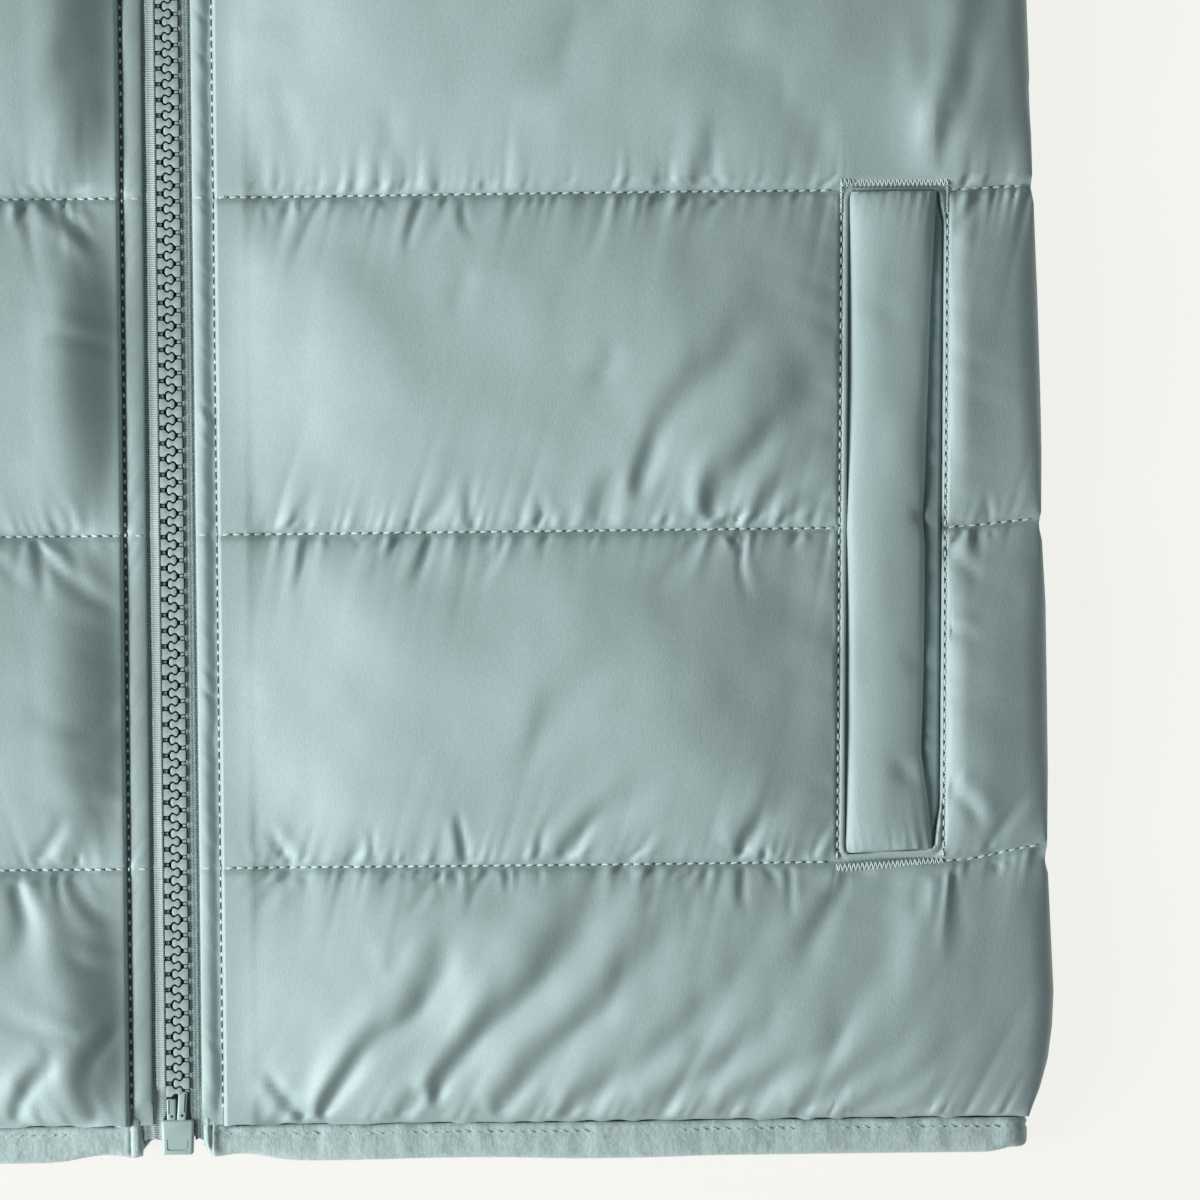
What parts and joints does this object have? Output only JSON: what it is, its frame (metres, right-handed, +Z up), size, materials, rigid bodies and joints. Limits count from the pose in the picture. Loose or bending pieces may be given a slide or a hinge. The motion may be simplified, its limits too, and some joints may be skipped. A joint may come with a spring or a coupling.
{
  "type": "reversible vest",
  "caption": "Child's padded zip-front vest with level quilting, a stand collar, bound hem and armholes and welt pockets, laid flat face up.",
  "frame": {"origin": "middle of the bounding box, on the surface that the vest lies on", "axes": "+Z up out of the surface, +Y from hem to collar, +X toward the wearer's left front"},
  "size_m": [0.3678, 0.5212, 0.0195],
  "materials": {
    "shell_cloth": "smooth satin polyester, quilted over light padding",
    "knit_trim": "soft matt knit binding and zip tape",
    "moulded_plastic": "moulded zip plastic, dyed to match",
    "pocket_cloth": "plain lining cloth"
  },
  "bodies": {
    "vest": {"front_left": "shell_cloth", "front_right": "shell_cloth", "back": "shell_cloth", "collar": "shell_cloth", "pocket_welt_left": "shell_cloth", "pocket_welt_right": "shell_cloth", "hem_binding": "knit_trim", "armhole_binding_left": "knit_trim", "armhole_binding_right": "knit_trim", "zip_tape_left": "knit_trim", "zip_tape_right": "knit_trim", "zip_teeth_left": "moulded_plastic", "zip_teeth_right": "moulded_plastic", "zip_pin_left": "moulded_plastic", "zip_pin_right": "moulded_plastic", "zip_box": "moulded_plastic", "zip_slider": "moulded_plastic", "pocket_cloth_left": "pocket_cloth", "pocket_cloth_right": "pocket_cloth"},
    "tab": {"pull_tab": "moulded_plastic"}
  },
  "joints": [
    {"name": "tab_flip", "type": "hinge", "parent": "vest", "child": "tab", "pos_m": [0, 0.20238, 0.01205], "axis": [-1, 0, 0], "range_deg": [0, 170]}
  ]
}
